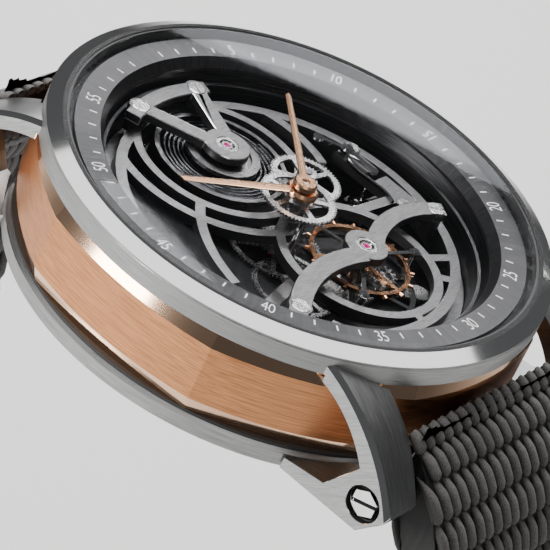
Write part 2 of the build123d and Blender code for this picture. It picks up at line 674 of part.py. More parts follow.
def cage_base():
    """Lower cage: driving pinion, ring with three arms, seats for the two small arbors, and pillars."""
    low, high = 5.65, 5.9
    frame = Circle(5.3) - Circle(4.9) + Circle(0.8)
    for angle in CAGE_ARMS:
        frame += bar_between((0, 0), polar((0, 0), 5.1, angle), 0.5)
    frame = Pos(*TOURBILLON) * frame
    for seat in (ESCAPE, PALLET):
        frame += bar_between(TOURBILLON, polar(TOURBILLON, 5.1, direction(TOURBILLON, seat)), 0.4)
        frame += Pos(*seat) * Circle(0.45)
    frame -= Pos(*ESCAPE) * Circle(0.2) + Pos(*PALLET) * Circle(0.17)
    body = slab(frame, low, high)
    body += disc(0.4, 4.5, low, TOURBILLON) + disc(0.18, 3.65, 4.2, TOURBILLON)
    phase = mesh_phase(THIRD_TEETH, 0, THIRD, CAGE_PINION_TEETH, TOURBILLON)
    body += pinion(CAGE_PINION_TEETH, CAGE_PINION_R, 4.2, 4.5, TOURBILLON, phase)
    for angle in CAGE_ARMS:
        body += disc(0.22, high, 8.0, polar(TOURBILLON, CAGE_R, angle))
    return body


def cage_bridge():
    """Upper cage: three slim arms, with a slotted screw on each pillar and the upper pivot."""
    frame = Circle(0.75)
    for angle in CAGE_ARMS:
        frame += bar_between((0, 0), polar((0, 0), CAGE_R, angle), 0.34)
        frame += Pos(*polar((0, 0), CAGE_R, angle)) * Rot(0, 0, angle) * RectangleRounded(0.8, 0.8, 0.15)
    body = slab(frame, 8.0, 8.18, TOURBILLON)
    for angle in CAGE_ARMS:
        x, y = polar(TOURBILLON, CAGE_R, angle)
        body += slotted_screw(x, y, 8.18, 0.3, 0.14, angle + 30)
    return body + disc(0.12, 8.18, 8.9, TOURBILLON)


def balance_wheel():
    """Balance with timing screws round its rim, its staff and roller."""
    low, high = 7.35, 7.7
    rim = Circle(4.15) - Circle(3.8) + Circle(0.55)
    for k in range(3):
        rim += Rot(0, 0, 30 + 120 * k) * Pos(2.1, 0) * Rectangle(3.9, 0.4)
    body = slab(rim, low, high, TOURBILLON)
    screw = Pos(4.05, 0, (low + high) / 2) * Rot(0, 90, 0) * extrude(Circle(0.16), 0.42)
    for k in range(16):
        body += Pos(TOURBILLON[0], TOURBILLON[1], 0) * Rot(0, 0, 22.5 * k) * screw
    body += disc(0.2, 5.95, 7.95, TOURBILLON) + disc(0.38, 6.35, 6.45, TOURBILLON)
    return body


def hairspring():
    coil = slab(spiral(0.5, 2.0, 7, 0.07), 6.8, 6.94, TOURBILLON)
    return coil + ring(0.5, 0.2, 6.75, 7.0, TOURBILLON)


def escape_wheel():
    phase = mesh_phase(FIXED_TEETH, 0, TOURBILLON, ESCAPE_PINION_TEETH, ESCAPE)
    body = wheel(15, 1.2, 6.1, 6.22, ESCAPE, 0, 0.88, 0.32, 4, 0.16)
    body += pinion(ESCAPE_PINION_TEETH, ESCAPE_PINION_R, 4.8, 5.1, ESCAPE, phase)
    return body + disc(0.14, 5.1, 6.4, ESCAPE)


def pallet_fork():
    """Lever with two pallet arms towards the escape wheel and a fork towards the balance staff."""
    facing = direction(ESCAPE, PALLET)
    left, right = polar(ESCAPE, 1.62, facing + 38), polar(ESCAPE, 1.62, facing - 38)
    horn = polar(PALLET, 1.35, direction(PALLET, TOURBILLON))
    shape = bar_between(PALLET, left, 0.22) + bar_between(PALLET, right, 0.22) + bar_between(PALLET, horn, 0.24)
    shape += Pos(*PALLET) * Circle(0.3) + Pos(*horn) * Circle(0.22)
    return slab(shape, 6.08, 6.22) + disc(0.12, 5.68, 6.4, PALLET)


def make_tourbillon():
    write("cage_base", cage_base())
    write("cage_bridge", cage_bridge())
    write("balance_wheel", balance_wheel())
    write("hairspring", hairspring())
    write("escape_wheel", escape_wheel())
    write("pallet_fork", pallet_fork())


# ----------------------------------------------------------------- strap and buckle
# Each half is drawn on the 12 o'clock side, (y, z); the 6 o'clock half is mirrored afterwards.

def curve_point(curve_r, degrees, depth=0.0):
    """Point of the strap's outer curve, sunk by a depth."""
    angle = math.radians(degrees)
    centre_y = SHOULDER[0] + SHOULDER_R - curve_r
    return (centre_y + (curve_r - depth) * math.cos(angle), SHOULDER[1] - (curve_r - depth) * math.sin(angle))


def shoulder_arc(radius, y):
    """Arc about the shoulder's centre, from a distance in front of the case down to the long curve."""
    top = math.acos((y - SHOULDER[0]) / radius)
    ends = [(SHOULDER[0] + radius * math.cos(a), SHOULDER[1] + radius * math.sin(a)) for a in (top, top / 2, 0)]
    return ThreePointArc(*ends)


def curve_plane(curve_r, degrees, depth):
    """Plane on the strap: X across it, Y along it towards its end, Z out of it."""
    angle = math.radians(degrees)
    y, z = curve_point(curve_r, degrees, depth)
    return Plane(origin=(0, y, z), x_dir=(1, 0, 0), z_dir=(0, math.cos(angle), -math.sin(angle)))


def strap_half(curve_r, sweep):
    """Padded strap whose end follows the case: out over the bar, then down."""
    middle = (STRAP_THICKNESS + STRAP_END_THICKNESS) / 2
    tip_out, tip_in = curve_point(curve_r, sweep), curve_point(curve_r, sweep, STRAP_END_THICKNESS)
    outer = shoulder_arc(SHOULDER_R, STRAP_END_TOP[0])
    inner = shoulder_arc(SHOULDER_R - STRAP_THICKNESS, FACET_R + STRAP_GAP)
    edges = outer + inner
    edges += ThreePointArc(outer @ 1, curve_point(curve_r, sweep / 2), tip_out)
    edges += Line(tip_out, tip_in)
    edges += ThreePointArc(tip_in, curve_point(curve_r, sweep / 2, middle), inner @ 1)
    edges += Polyline(inner @ 0, STRAP_END_BOTTOM, outer @ 0)
    body = extrude(Plane.YZ * make_face(edges), STRAP_HALF_WIDTH, both=True)
    body -= slab(octagon(1 + STRAP_GAP / FACET_R), 0, 12)
    bar_hole = Plane.YZ * Pos(BAR_Y, BAR_Z) * Circle(BAR_R + 0.06)
    return body - extrude(bar_hole, STRAP_HALF_WIDTH + 1, both=True)


def front_outline(bottom_z, pointed):
    """Front view of a strap half: tapered sides, square or rounded end."""
    w0, w1 = STRAP_HALF_WIDTH, STRAP_END_HALF_WIDTH
    if pointed:
        edges = Polyline((-w1, bottom_z + 9), (-w0, 0), (-w0, 9), (w0, 9), (w0, 0), (w1, bottom_z + 9))
        edges += ThreePointArc((w1, bottom_z + 9), (w1 * 0.62, bottom_z + 2.6), (0, bottom_z))
        edges += ThreePointArc((0, bottom_z), (-w1 * 0.62, bottom_z + 2.6), (-w1, bottom_z + 9))
    else:
        edges = Polyline((-w1, bottom_z), (-w0, 0), (-w0, 9), (w0, 9), (w0, 0), (w1, bottom_z), close=True)
    return extrude(Plane.XZ * make_face(edges), 70, both=True)


BAR_PLANE = curve_plane(SHORT_CURVE_R, SHORT_SWEEP, STRAP_END_THICKNESS / 2)


def across(plane, radius, half_width, y=0.0, z=0.0):
    """Cylinder along X at a place on a strap plane."""
    return plane * Pos(-half_width, y, z) * Rot(0, 90, 0) * extrude(Circle(radius), 2 * half_width)


def strap_12():
    """Short half with a loop round the buckle bar and a slot for the tongue."""
    body = strap_half(SHORT_CURVE_R, SHORT_SWEEP)
    body &= front_outline(curve_point(SHORT_CURVE_R, SHORT_SWEEP)[1] - 2, False)
    body += across(BAR_PLANE, STRAP_END_THICKNESS / 2 + 0.25, STRAP_END_HALF_WIDTH)
    body -= BAR_PLANE * Pos(0, -1.0, 0) * Box(3.0, 6.6, 6)
    return body - across(BAR_PLANE, BUCKLE_BAR_R + 0.05, 12)


def strap_6():
    """Long half with a rounded end and a row of holes."""
    body = strap_half(LONG_CURVE_R, LONG_SWEEP) & front_outline(curve_point(LONG_CURVE_R, LONG_SWEEP)[1], True)
    for k in range(7):
        plane = curve_plane(LONG_CURVE_R, LONG_SWEEP - 3.6 - 1.1 * k, 1.2)
        body -= plane * Pos(0, 0, -3) * extrude(SlotOverall(3.0, 1.8, rotation=90), 6)
    return mirrored_y(body)


def buckle_frame():
    """Front bar and two side arms that hold the pin."""
    outer = Pos(0, 5.4) * RectangleRounded(23.0, 14.4, 1.6)
    inner = Pos(0, 3.9) * Rectangle(18.7, 12.6)
    body = BAR_PLANE * Pos(0, 0, -1.1) * extrude(outer - inner, 2.2)
    return body - across(BAR_PLANE, BUCKLE_BAR_R, 12)


def buckle_tongue():
    """Ring round the pin, with a flat tongue that rests on the front bar."""
    body = across(BAR_PLANE, 1.7, 1.2) + BAR_PLANE * Pos(0, 6.4, 1.42) * Box(2.0, 12.8, 0.55)
    return body - across(BAR_PLANE, BUCKLE_BAR_R + 0.05, 3)


def keeper(distance, slack):
    """Loop round the short half, with room above it for the long half's end."""
    sweep = SHORT_SWEEP - math.degrees(distance / SHORT_CURVE_R)
    plane = curve_plane(SHORT_CURVE_R, sweep, 1.3)
    share = 1 - sweep / SHORT_SWEEP
    thickness = STRAP_END_THICKNESS + (STRAP_THICKNESS - STRAP_END_THICKNESS) * share
    half = STRAP_END_HALF_WIDTH + 0.3 + slack
    low, high = 1.15 - thickness - slack, 4.2
    inner = Pos(0, (low + high) / 2) * Rectangle(2 * half, high - low)
    outer = Pos(0, (low + high) / 2) * RectangleRounded(2 * half + 1.8, high - low + 1.8, 0.8)
    section = Plane(origin=plane.origin, x_dir=(1, 0, 0), z_dir=-plane.y_dir)
    return extrude(section * (outer - inner), 2.5, both=True)


def make_strap():
    write("strap_12", strap_12())
    write("strap_6", strap_6())
    write("buckle_frame", buckle_frame())
    write("buckle_bar", across(BAR_PLANE, BUCKLE_BAR_R, 11.3))
    write("buckle_tongue", buckle_tongue())
    write("keeper_fixed", keeper(8.0, 0.0))
    write("keeper_free", keeper(22.0, 0.25))


make_case()
make_plates()
make_train()
make_winding()
make_tourbillon()
make_strap()
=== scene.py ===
import math

import bpy
import numpy as np
from mathutils import Matrix, Vector
from mathutils.bvhtree import BVHTree


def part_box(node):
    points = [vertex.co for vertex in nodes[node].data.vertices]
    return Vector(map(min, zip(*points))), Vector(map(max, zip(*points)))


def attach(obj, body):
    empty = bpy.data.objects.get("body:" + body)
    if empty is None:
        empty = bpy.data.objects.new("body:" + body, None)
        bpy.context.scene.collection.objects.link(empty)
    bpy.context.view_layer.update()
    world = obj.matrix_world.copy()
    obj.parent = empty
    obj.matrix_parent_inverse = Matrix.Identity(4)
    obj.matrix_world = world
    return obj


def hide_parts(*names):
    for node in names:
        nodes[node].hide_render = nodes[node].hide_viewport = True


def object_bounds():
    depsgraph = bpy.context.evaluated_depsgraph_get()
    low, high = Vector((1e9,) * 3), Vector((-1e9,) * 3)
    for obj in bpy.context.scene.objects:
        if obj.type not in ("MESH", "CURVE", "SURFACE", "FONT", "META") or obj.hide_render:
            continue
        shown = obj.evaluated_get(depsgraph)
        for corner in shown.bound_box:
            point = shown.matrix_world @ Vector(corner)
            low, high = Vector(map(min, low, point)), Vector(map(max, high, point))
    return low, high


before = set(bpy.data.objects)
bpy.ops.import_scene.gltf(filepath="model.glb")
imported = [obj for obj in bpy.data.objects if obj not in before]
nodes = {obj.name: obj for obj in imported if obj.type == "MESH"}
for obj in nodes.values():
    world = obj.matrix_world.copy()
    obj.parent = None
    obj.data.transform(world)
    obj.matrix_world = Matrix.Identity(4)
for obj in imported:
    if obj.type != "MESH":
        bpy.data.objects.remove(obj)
cad_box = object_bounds()
MM = 0.001
GRAIN_RADIUS = 0.02    # one radian of turned grain counts as this much length
GLOSS_ROUGH = 0.02     # least roughness of the sapphire panes
STRAP_START = 0.0216   # the strap cores begin this far from the watch centre, in y
RAY_START = 0.02       # height, above every ring, from which the ring's top is looked for


# ----------------------------------------------------------------- camera, floor and lights

def add_camera():
    """Close three-quarter view from above the 8 o'clock side, with the dial's 12 towards the upper left."""
    forward = Vector((0.762943, 0.356417, -0.539337))
    right = Vector((0.592911, -0.718272, 0.364063))
    up = right.cross(forward)
    data = bpy.data.cameras.new("camera")
    data.sensor_width = 36
    data.lens = 232.62
    data.clip_start, data.clip_end = 0.02, 20
    camera = bpy.data.objects.new("camera", data)
    camera.matrix_world = Matrix.Translation((-0.206828, -0.097624, 0.148807)) @ Matrix(
        (right, up, -forward)).transposed().to_4x4()
    bpy.context.scene.collection.objects.link(camera)
    bpy.context.scene.camera = camera


def add_light(name, at, target, width, height, watts):
    data = bpy.data.lights.new(name, "AREA")
    data.shape, data.size, data.size_y = "RECTANGLE", width, height
    data.energy = watts
    light = bpy.data.objects.new(name, data)
    light.location = at
    light.rotation_euler = (Vector(target) - Vector(at)).to_track_quat("-Z", "Y").to_euler()
    bpy.context.scene.collection.objects.link(light)


def new_object(name, verts, faces, smooth=True):
    mesh = bpy.data.meshes.new(name)
    mesh.from_pydata([tuple(v) for v in verts], [], [tuple(f) for f in faces])
    mesh.update()
    if smooth:
        mesh.shade_smooth()
    obj = bpy.data.objects.new(name, mesh)
    bpy.context.scene.collection.objects.link(obj)
    return obj


def add_stage():
    z = cad_box[0].z - 0.0005
    size = 2.5
    corners = [(-size, -size, z), (size, -size, z), (size, size, z), (-size, size, z)]
    floor = new_object("floor", corners, [(0, 1, 2, 3)])
    floor.data.materials.append(surface("floor", (0.74, 0.735, 0.73), 0.0, 0.7)[0])
    world = bpy.data.worlds.new("studio")
    world.use_nodes = True
    world.node_tree.nodes["Background"].inputs["Color"].default_value = (0.55, 0.56, 0.58, 1)
    world.node_tree.nodes["Background"].inputs["Strength"].default_value = 0.14
    bpy.context.scene.world = world
    centre = (0, 0, 0)
    add_light("roof", (0.15, 0.15, 0.60), (0.15, 0.15, 0), 0.9, 1.1, 4.6)
    add_light("key", (0.19, 0.16, 0.36), (0.17, 0.09, -0.1), 0.24, 0.24, 2.6)
    add_light("left_strip", (-0.37, 0.165, 0.10), centre, 0.15, 0.26, 2.6)
    add_light("back_right", (0.50, 0.22, 0.17), centre, 0.5, 0.14, 1.3)


# ----------------------------------------------------------------- shader building blocks

def surface(name, colour, metallic, roughness, **sockets):
    """New material: (material, node tree, Principled node) with plain values set on its sockets."""
    mat = bpy.data.materials.new(name)
    mat.use_nodes = True
    tree = mat.node_tree
    bsdf = tree.nodes["Principled BSDF"]
    bsdf.inputs["Base Color"].default_value = (*colour, 1)
    bsdf.inputs["Metallic"].default_value = metallic
    bsdf.inputs["Roughness"].default_value = roughness
    for key, value in sockets.items():
        bsdf.inputs[key.replace("_", " ")].default_value = value
    return mat, tree, bsdf


def node(tree, kind, *links):
    """Adds a node; links are (input, output socket) pairs."""
    made = tree.nodes.new("ShaderNode" + kind)
    for target, source in links:
        tree.links.new(source, made.inputs[target])
    return made


def coordinates(tree, which="Object"):
    return node(tree, "TexCoord").outputs[which]


def calculate(tree, operation, a, b=None):
    made = tree.nodes.new("ShaderNodeMath")
    made.operation = operation
    for socket, value in zip(made.inputs, (a, b)):
        if isinstance(value, (int, float)):
            socket.default_value = value
        elif value is not None:
            tree.links.new(value, socket)
    return made.outputs[0]


def polar_vector(tree, centre=(0, 0)):
    """(angle x GRAIN_RADIUS, radius, height) of a point about a vertical axis, in metres."""
    parts = node(tree, "SeparateXYZ", ("Vector", coordinates(tree)))
    x = calculate(tree, "SUBTRACT", parts.outputs[0], centre[0])
    y = calculate(tree, "SUBTRACT", parts.outputs[1], centre[1])
    angle = calculate(tree, "MULTIPLY", calculate(tree, "ARCTAN2", y, x), GRAIN_RADIUS)
    radius = calculate(tree, "SQRT", calculate(
        tree, "ADD", calculate(tree, "MULTIPLY", x, x), calculate(tree, "MULTIPLY", y, y)))
    made = node(tree, "CombineXYZ", (0, angle), (1, radius), (2, parts.outputs[2]))
    return made.outputs[0]


def noise(tree, vector, per_mm, detail=3.0, roughness=0.6):
    """Noise whose grain is given per millimetre along each axis."""
    mapping = node(tree, "Mapping", ("Vector", vector))
    mapping.inputs["Scale"].default_value = [v * 1000 for v in per_mm]
    made = node(tree, "TexNoise", ("Vector", mapping.outputs[0]))
    made.inputs["Scale"].default_value = 1.0
    made.inputs["Detail"].default_value = detail
    made.inputs["Roughness"].default_value = roughness
    return made.outputs["Fac"]


def remap(tree, value, low, high, to_low, to_high):
    made = node(tree, "MapRange", ("Value", value))
    for key, number in zip(("From Min", "From Max", "To Min", "To Max"), (low, high, to_low, to_high)):
        made.inputs[key].default_value = number
    return made.outputs["Result"]


def blend_colour(tree, factor, a, b):
    made = tree.nodes.new("ShaderNodeMix")
    made.data_type = "RGBA"
    tree.links.new(factor, made.inputs[0])
    for index, value in ((6, a), (7, b)):
        if isinstance(value, tuple):
            made.inputs[index].default_value = (*value, 1)
        else:
            tree.links.new(value, made.inputs[index])
    return made.outputs[2]


def blend_value(tree, factor, a, b):
    made = tree.nodes.new("ShaderNodeMix")
    made.data_type = "FLOAT"
    tree.links.new(factor, made.inputs[0])
    for index, value in ((2, a), (3, b)):
        if isinstance(value, (int, float)):
            made.inputs[index].default_value = value
        else:
            tree.links.new(value, made.inputs[index])
    return made.outputs[0]


def bump(tree, bsdf, height, depth_mm):
    made = node(tree, "Bump", ("Height", height))
    made.inputs["Strength"].default_value = 1.0
    made.inputs["Distance"].default_value = depth_mm * MM
    tree.links.new(made.outputs[0], bsdf.inputs["Normal"])


def facing(tree, axis):
    """How far the object's own surface turns towards an axis, 0 to 1."""
    parts = node(tree, "SeparateXYZ", ("Vector", coordinates(tree, "Normal")))
    return calculate(tree, "ABSOLUTE", parts.outputs["XYZ".index(axis)])


def set_tangent(tree, bsdf):
    made = node(tree, "Tangent")
    made.direction_type, made.axis = "RADIAL", "Z"
    tree.links.new(made.outputs[0], bsdf.inputs["Tangent"])


def finish_metal(tree, bsdf, grain, dark, light, rough, depth_mm, polished=None, polish=0.07, mirror=None):
    """Brushed metal from a grain pattern; where the mask polished is 1 it is a clean polish instead."""
    colour = blend_colour(tree, remap(tree, grain, 0.3, 0.7, 0, 1), dark, light)
    roughness = remap(tree, grain, 0.3, 0.7, rough[0], rough[1])
    height = grain
    if polished is not None:
        colour = blend_colour(tree, polished, colour, mirror or light)
        roughness = blend_value(tree, polished, roughness, polish)
        height = blend_value(tree, polished, grain, 0.5)
    tree.links.new(colour, bsdf.inputs["Base Color"])
    tree.links.new(roughness, bsdf.inputs["Roughness"])
    bump(tree, bsdf, height, depth_mm)


PINK_DARK, PINK_LIGHT = (0.36, 0.145, 0.06), (0.80, 0.37, 0.17)
WHITE_DARK, WHITE_LIGHT = (0.24, 0.24, 0.24), (0.40, 0.40, 0.395)
GREY_DARK, GREY_LIGHT = (0.11, 0.11, 0.11), (0.23, 0.23, 0.23)


def turned_metal(name, dark, light, rough, per_mm, anisotropic, mask=None,
                 centre=(0, 0), depth_mm=0.006, polish=0.07, mirror=None):
    """Metal with grain round a vertical axis; faces turned along mask, (axis, low, high), are polished."""
    mat, tree, bsdf = surface(name, light, 1.0, 0.3, Anisotropic=anisotropic)
    set_tangent(tree, bsdf)
    grain = noise(tree, polar_vector(tree, centre), per_mm, 4)
    polished = remap(tree, facing(tree, mask[0]), mask[1], mask[2], 0, 1) if mask else None
    finish_metal(tree, bsdf, grain, dark, light, rough, depth_mm, polished, polish, mirror)
    return mat


def straight_metal(name, dark, light, per_mm, rough, depth_mm):
    """Metal with grain along one direction of the object."""
    mat, tree, bsdf = surface(name, light, 1.0, 0.3)
    grain = noise(tree, coordinates(tree), per_mm, 4)
    finish_metal(tree, bsdf, grain, dark, light, rough, depth_mm)
    return mat


def lug_metal():
    """White gold: strokes down the wide face and along the side, and a polished bevel between them."""
    mat, tree, bsdf = surface("lug_metal", WHITE_LIGHT, 1.0, 0.3)
    side = facing(tree, "X")
    wide = noise(tree, coordinates(tree), (14, 0.5, 0.5), 4)
    turn = node(tree, "Mapping", ("Vector", coordinates(tree)))
    turn.inputs["Rotation"].default_value = (math.radians(38), 0, 0)
    flat = noise(tree, turn.outputs[0], (1, 0.6, 14), 4)
    grain = blend_value(tree, remap(tree, side, 0.9, 0.95, 0, 1), wide, flat)
    rising = remap(tree, side, 0.18, 0.3, 0, 1)
    falling = remap(tree, side, 0.85, 0.95, 1, 0)
    polished = calculate(tree, "MULTIPLY", rising, falling)
    finish_metal(tree, bsdf, grain, WHITE_DARK, WHITE_LIGHT, (0.28, 0.38), 0.002, polished, 0.07,
                 (0.95, 0.95, 0.94))
    return mat


def satin_metal(name, dark, light, rough=(0.3, 0.42)):
    """Fine blasted surface with faint clouds."""
    mat, tree, bsdf = surface(name, light, 1.0, rough[1])
    fine = noise(tree, coordinates(tree), (9, 9, 9), 5)
    clouds = noise(tree, coordinates(tree), (0.35, 0.35, 0.35), 2)
    grain = blend_value(tree, clouds, fine, calculate(tree, "MULTIPLY", fine, 0.8))
    finish_metal(tree, bsdf, grain, dark, light, rough, 0.003)
    return mat


def polished_metal(name, colour, rough=(0.05, 0.12)):
    """Clean polish with faint smudges."""
    mat, tree, bsdf = surface(name, colour, 1.0, rough[0])
    smudge = noise(tree, coordinates(tree), (1.2, 1.2, 1.2), 3)
    finish_metal(tree, bsdf, smudge, tuple(c * 0.9 for c in colour), colour, rough, 0.0006)
    return mat


def clear_pane(name, tint, least=0.03, most=0.7):
    """See-through sapphire that doesn't bend what lies behind it; its gloss grows at a glancing angle."""
    mat = bpy.data.materials.new(name)
    mat.use_nodes = True
    tree = mat.node_tree
    out = tree.nodes["Material Output"]
    tree.nodes.remove(tree.nodes["Principled BSDF"])
    clear = tree.nodes.new("ShaderNodeBsdfTransparent")
    clear.inputs["Color"].default_value = (*tint, 1)
    gloss = tree.nodes.new("ShaderNodeBsdfGlossy")
    gloss.inputs["Color"].default_value = (0.93, 0.96, 1.0, 1)
    dust = noise(tree, coordinates(tree), (0.8, 0.8, 0.8), 2)
    haze = remap(tree, dust, 0.3, 0.7, GLOSS_ROUGH, GLOSS_ROUGH + 0.03)
    tree.links.new(haze, gloss.inputs["Roughness"])
    weight = tree.nodes.new("ShaderNodeLayerWeight")
    weight.inputs["Blend"].default_value = 0.5
    glancing = calculate(tree, "POWER", weight.outputs["Facing"], 5.0)
    mix = tree.nodes.new("ShaderNodeMixShader")
    tree.links.new(remap(tree, glancing, 0, 1, least, most), mix.inputs[0])
    tree.links.new(clear.outputs[0], mix.inputs[1])
    tree.links.new(gloss.outputs[0], mix.inputs[2])
    tree.links.new(mix.outputs[0], out.inputs["Surface"])
    return mat


def ruby():
    mat, tree, bsdf = surface("ruby", (0.55, 0.01, 0.16), 0.0, 0.06, Coat_Weight=1.0, Coat_Roughness=0.03)
    cloud = noise(tree, coordinates(tree), (3, 3, 3), 3)
    colour = blend_colour(tree, cloud, (0.34, 0.0, 0.10), (0.85, 0.03, 0.34))
    tree.links.new(colour, bsdf.inputs["Base Color"])
    # Painted glow: the emission lights the jewels from within.
    bsdf.inputs["Emission Color"].default_value = (0.8, 0.02, 0.28, 1)
    bsdf.inputs["Emission Strength"].default_value = 0.12
    return mat


def rubber():
    mat, tree, bsdf = surface("gasket_rubber", (0.012, 0.012, 0.013), 0.0, 0.6)
    fine = noise(tree, coordinates(tree), (8, 8, 8), 4)
    tree.links.new(remap(tree, fine, 0.3, 0.7, 0.5, 0.75), bsdf.inputs["Roughness"])
    colour = blend_colour(tree, fine, (0.008, 0.008, 0.008), (0.025, 0.025, 0.026))
    tree.links.new(colour, bsdf.inputs["Base Color"])
    bump(tree, bsdf, fine, 0.01)
    return mat


def dial_ring():
    """Anthracite ring with a fine grain running outwards."""
    mat, tree, bsdf = surface("dial_ring", (0.11, 0.11, 0.112), 0.85, 0.35, Anisotropic=0.5)
    set_tangent(tree, bsdf)
    rays = noise(tree, polar_vector(tree), (9, 0.15, 1), 3)
    finish_metal(tree, bsdf, rays, (0.035, 0.035, 0.036), (0.075, 0.075, 0.076), (0.3, 0.42), 0.002)
    return mat


def print_white():
    mat, tree, bsdf = surface("dial_print", (0.85, 0.85, 0.84), 0.0, 0.5)
    fine = noise(tree, coordinates(tree), (14, 14, 14), 3)
    colour = blend_colour(tree, fine, (0.72, 0.72, 0.71), (0.93, 0.93, 0.92))
    tree.links.new(colour, bsdf.inputs["Base Color"])
    # Painted glow: the emission lifts the print above what the lamps give it.
    bsdf.inputs["Emission Color"].default_value = (1, 1, 1, 1)
    bsdf.inputs["Emission Strength"].default_value = 0.12
    return mat


def textile(name, dark, light, fibre=(26, 5, 5)):
    """Coarse technical yarn: fibres along it, and its colour darkened by a vertex attribute, which on the
    strands is painted shade (a lit crown, shaded flanks and a shaded tucked head) times a random shade of its
    own for each strand.
    """
    mat, tree, bsdf = surface(name, light, 0.0, 0.75)
    fibres = noise(tree, coordinates(tree), fibre, 5, 0.7)
    speckle = noise(tree, coordinates(tree), (18, 18, 18), 3)
    both = calculate(tree, "MULTIPLY", calculate(tree, "ADD", fibres, speckle), 0.5)
    colour = blend_colour(tree, remap(tree, both, 0.40, 0.60, 0, 1), dark, light)
    # Painted shade: the vertex attribute mixes the colour down towards a darker copy of the dark colour.
    painted_shade_and_tone = node(tree, "Attribute")
    painted_shade_and_tone.attribute_name = "painted_shade_and_tone"
    shade = blend_colour(tree, painted_shade_and_tone.outputs["Fac"], tuple(c * 0.6 for c in dark), colour)
    tree.links.new(shade, bsdf.inputs["Base Color"])
    tree.links.new(remap(tree, both, 0.3, 0.7, 0.62, 0.88), bsdf.inputs["Roughness"])
    bump(tree, bsdf, both, 0.05)
    return mat


# ----------------------------------------------------------------- materials of the carried nodes

def paint(names, *materials):
    for name in names.split():
        slots = nodes[name].data.materials
        slots.clear()
        for mat in materials:
            slots.append(mat)


def bevel(names, width_mm, segments=1, polished=True):
    """Rounded edges on carried nodes; where polished is set, the rounding takes the second material."""
    for name in names.split():
        weld = nodes[name].modifiers.new("weld", "WELD")
        weld.merge_threshold = 1e-6
        made = nodes[name].modifiers.new("edge", "BEVEL")
        made.width, made.segments = width_mm * MM, segments
        made.limit_method, made.angle_limit = "ANGLE", math.radians(50)
        made.material = 1 if polished else -1
        split = nodes[name].modifiers.new("split", "EDGE_SPLIT")
        split.split_angle = math.radians(28)
        weighted = nodes[name].modifiers.new("normals", "WEIGHTED_NORMAL")
        weighted.keep_sharp = True


def middle_of(name):
    """(x, y) of the middle of a carried node's box: the axis its grain turns about."""
    low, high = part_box(name)
    middle = (low + high) / 2
    return middle.x, middle.y


